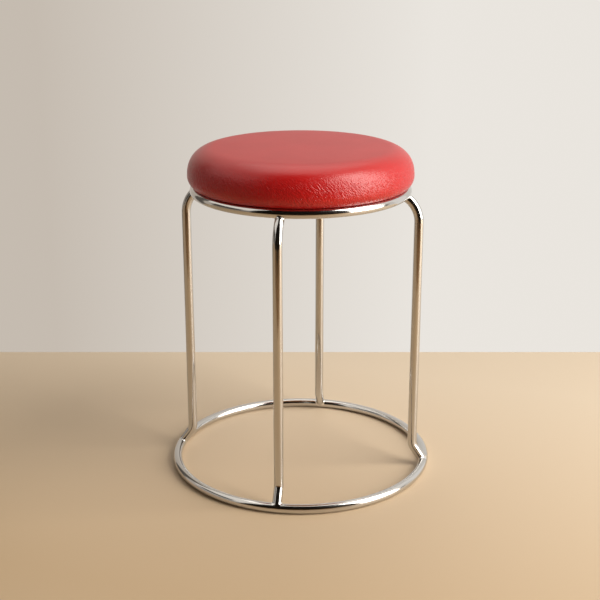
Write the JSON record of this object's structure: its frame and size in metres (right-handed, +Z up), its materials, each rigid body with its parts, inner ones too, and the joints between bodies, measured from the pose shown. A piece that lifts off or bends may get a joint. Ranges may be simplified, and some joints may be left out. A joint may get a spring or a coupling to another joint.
{
  "type": "round stool",
  "caption": "Low round stool with a flat-topped, round-shouldered red leatherette cushion on a welded chrome tube frame: bent legs between a seat ring and a wider floor ring.",
  "frame": {"origin": "on the floor, at the centre of the floor ring, on the stool's axis", "axes": "+Z up along the stool's axis; the legs stand on the X and Y axes, with the front leg on -Y"},
  "size_m": [0.3646, 0.3646, 0.4511],
  "materials": {
    "chrome_tube": "polished plate on steel tube",
    "red_leatherette": "semi-gloss vinyl with a fine crinkled grain",
    "plywood": "bare plywood",
    "foam": "open-cell polyurethane foam",
    "zinc_steel": "bright zinc plate"
  },
  "bodies": {
    "root": {"floor_ring": "chrome_tube", "seat_ring": "chrome_tube", "leg_front": "chrome_tube", "leg_right": "chrome_tube", "leg_back": "chrome_tube", "leg_left": "chrome_tube", "seat_lug_1": "chrome_tube", "seat_lug_2": "chrome_tube", "seat_lug_3": "chrome_tube", "seat_lug_4": "chrome_tube", "seat_board": "plywood", "seat_foam": "foam", "seat_cover": "red_leatherette", "tee_nuts": "zinc_steel", "seat_bolts": "zinc_steel", "bolt_washers": "zinc_steel", "cover_staples": "zinc_steel"}
  },
  "joints": []
}
